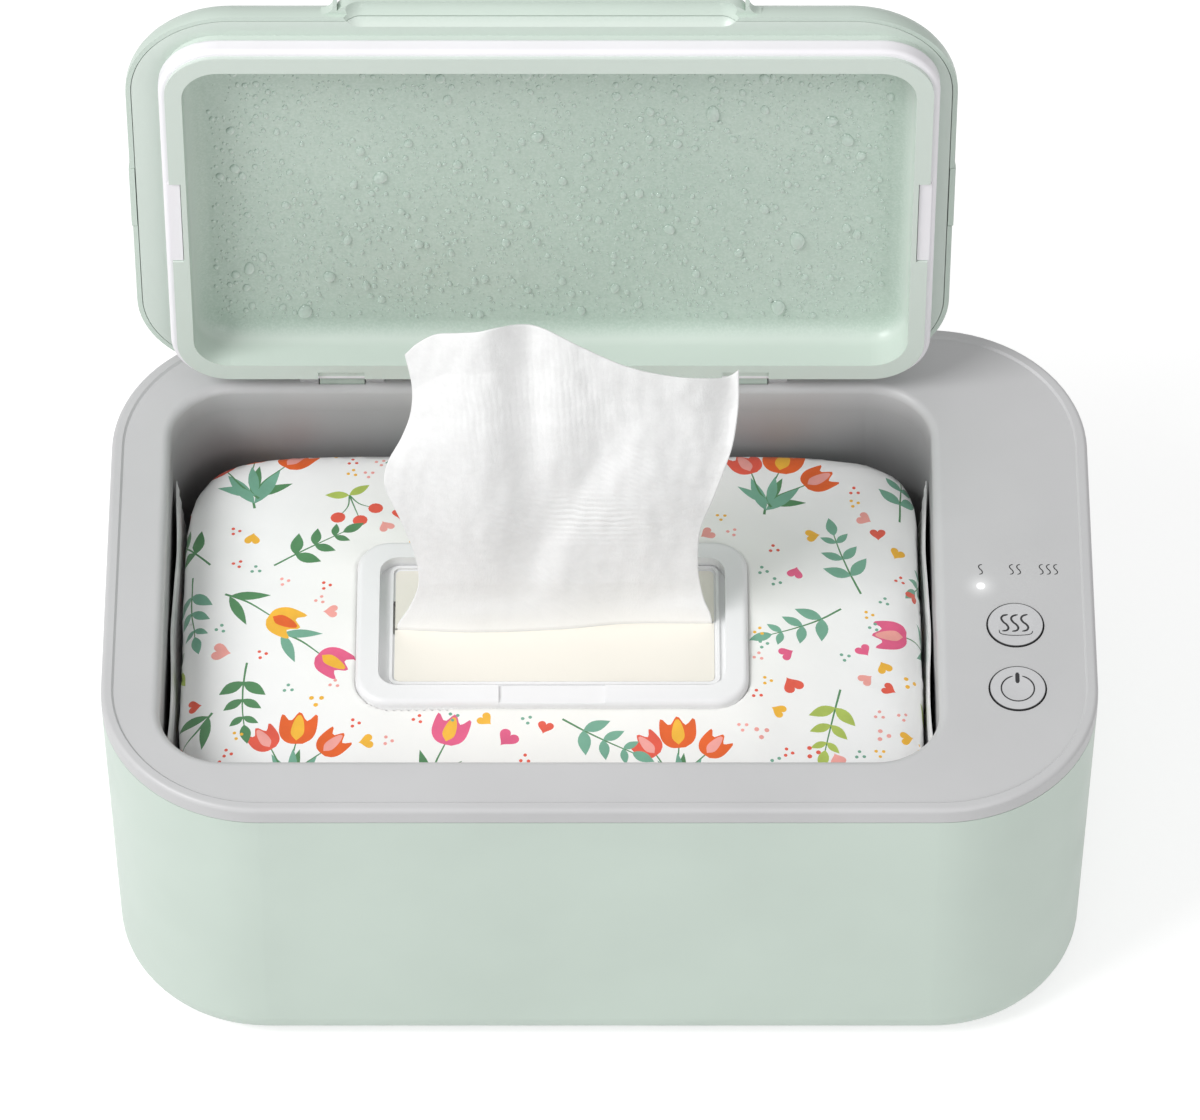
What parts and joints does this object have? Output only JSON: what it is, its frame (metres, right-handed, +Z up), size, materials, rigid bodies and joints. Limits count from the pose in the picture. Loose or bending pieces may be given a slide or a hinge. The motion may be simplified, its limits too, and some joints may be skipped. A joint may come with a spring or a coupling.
{
  "type": "baby wipe warmer",
  "caption": "Rounded tub warmer with a heated chamber holding a wipes pack, touch panel with two push buttons, and a hinged lid standing open.",
  "frame": {"origin": "on the floor under the middle of the body", "axes": "+Z up, the front faces -Y, the control panel is at +X, the hinge is at the back along X"},
  "size_m": [0.26, 0.167, 0.2399],
  "materials": {
    "mint_shell": "fine satin moulding",
    "mint_tray": "satin moulding",
    "deck_grey": "fine satin moulding",
    "liner_grey": "satin moulding",
    "button_grey": "fine satin moulding",
    "seal_white": "soft silicone",
    "foot_rubber": "matte",
    "screw_steel": "zinc plated",
    "pin_steel": "ground",
    "heater_aluminium": "plain sheet",
    "film_copper": "amber heating film",
    "pad_foam": "fine foam",
    "retainer_steel": "pressed sheet",
    "part_black": "satin",
    "part_white": "gloss",
    "board_green": "lacquered board",
    "guide_clear": "clear moulding",
    "lead_black": "matte jacket",
    "pack_film": "printed soft film",
    "frame_white": "gloss moulding",
    "wipe_cloth": "damp nonwoven cloth"
  },
  "bodies": {
    "root": {"outer_shell": "mint_shell", "base_cover": "mint_shell", "base_screws": "screw_steel", "rubber_feet": "foot_rubber", "deck_frame": "deck_grey", "chamber_liner": "liner_grey", "liner_screws": "screw_steel", "heater_plate": "heater_aluminium", "heater_film": "film_copper", "insulation_pad": "pad_foam", "heater_retainer": "retainer_steel", "retainer_screws": "screw_steel", "temperature_sensor": "part_black", "thermal_fuse": "part_white", "control_board": "board_green", "board_screws": "screw_steel", "tact_switches": "part_black", "status_leds": "part_white", "light_guide": "guide_clear", "power_socket": "part_black", "supply_lead": "lead_black", "heater_lead": "lead_black", "hinge_pins": "pin_steel", "wipes_pack": "pack_film", "pack_frame": "frame_white", "wipe": "wipe_cloth"},
    "lid": {"lid_shell": "mint_shell", "lid_tray": "mint_tray", "lid_seal": "seal_white", "lid_clips": "mint_shell"},
    "heat_button": {"button_heat": "button_grey"},
    "power_button": {"button_power": "button_grey"}
  },
  "joints": [
    {"name": "lid_hinge", "type": "hinge", "parent": "root", "child": "lid", "pos_m": [-0.015, 0.0674, 0.0992], "axis": [1, 0, 0], "range_deg": [0, 90], "deforming": ["wipe"]},
    {"name": "heat_press", "type": "slide", "parent": "root", "child": "heat_button", "axis": [0, 0, -1], "range_m": [0, 0.0008], "stiffness_N_per_m": 300, "springref_m": -0.001},
    {"name": "power_press", "type": "slide", "parent": "root", "child": "power_button", "axis": [0, 0, -1], "range_m": [0, 0.0008], "stiffness_N_per_m": 300, "springref_m": -0.001}
  ]
}
